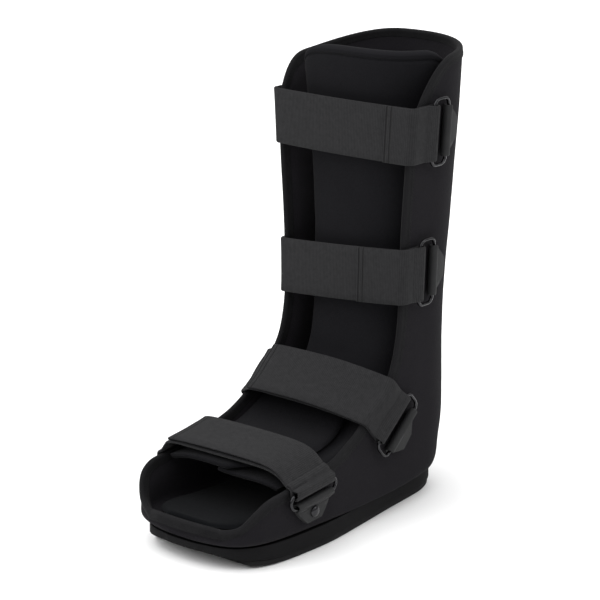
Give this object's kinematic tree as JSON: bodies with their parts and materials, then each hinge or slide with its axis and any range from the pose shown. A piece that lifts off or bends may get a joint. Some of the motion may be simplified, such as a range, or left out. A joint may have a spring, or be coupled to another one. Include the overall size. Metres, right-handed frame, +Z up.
{
  "type": "medical walking boot",
  "caption": "Tall padded walking boot with an open toe and front, a shin pad, forefoot flaps, webbing straps through metal rings and a flat rocker sole.",
  "frame": {"origin": "on the floor under the middle of the foot, on the middle plane of the sole", "axes": "+Z up the leg, -Y towards the toe, +X towards the side that carries the rings"},
  "size_m": [0.1622, 0.3219, 0.3986],
  "materials": {
    "shell_fabric": "matt black loop cloth over foam",
    "binding_tape": "black binding tape",
    "lining_fabric": "matt black lining cloth over foam",
    "webbing": "charcoal ribbed webbing",
    "tab_leatherette": "satin dark leatherette",
    "ring_steel": "dark plated steel",
    "sole_foam": "black sole foam",
    "tread_rubber": "black tread rubber"
  },
  "bodies": {
    "root": {"sole": "sole_foam", "tread": "tread_rubber", "shell": "shell_fabric", "rim_binding": "binding_tape", "insole": "lining_fabric", "shin_pad": "lining_fabric", "flap_far": "lining_fabric", "flap_near": "lining_fabric", "strap_calf": "webbing", "ring_calf": "ring_steel", "tab_calf": "tab_leatherette", "strap_shin": "webbing", "ring_shin": "ring_steel", "tab_shin": "tab_leatherette", "strap_ankle": "webbing", "ring_ankle": "ring_steel", "tab_ankle": "tab_leatherette", "strap_toe": "webbing", "ring_toe": "ring_steel", "tab_toe": "tab_leatherette", "rivet_toe": "ring_steel", "ring_toe_far": "ring_steel", "tab_toe_far": "tab_leatherette", "rivet_toe_far": "ring_steel"}
  },
  "joints": []
}
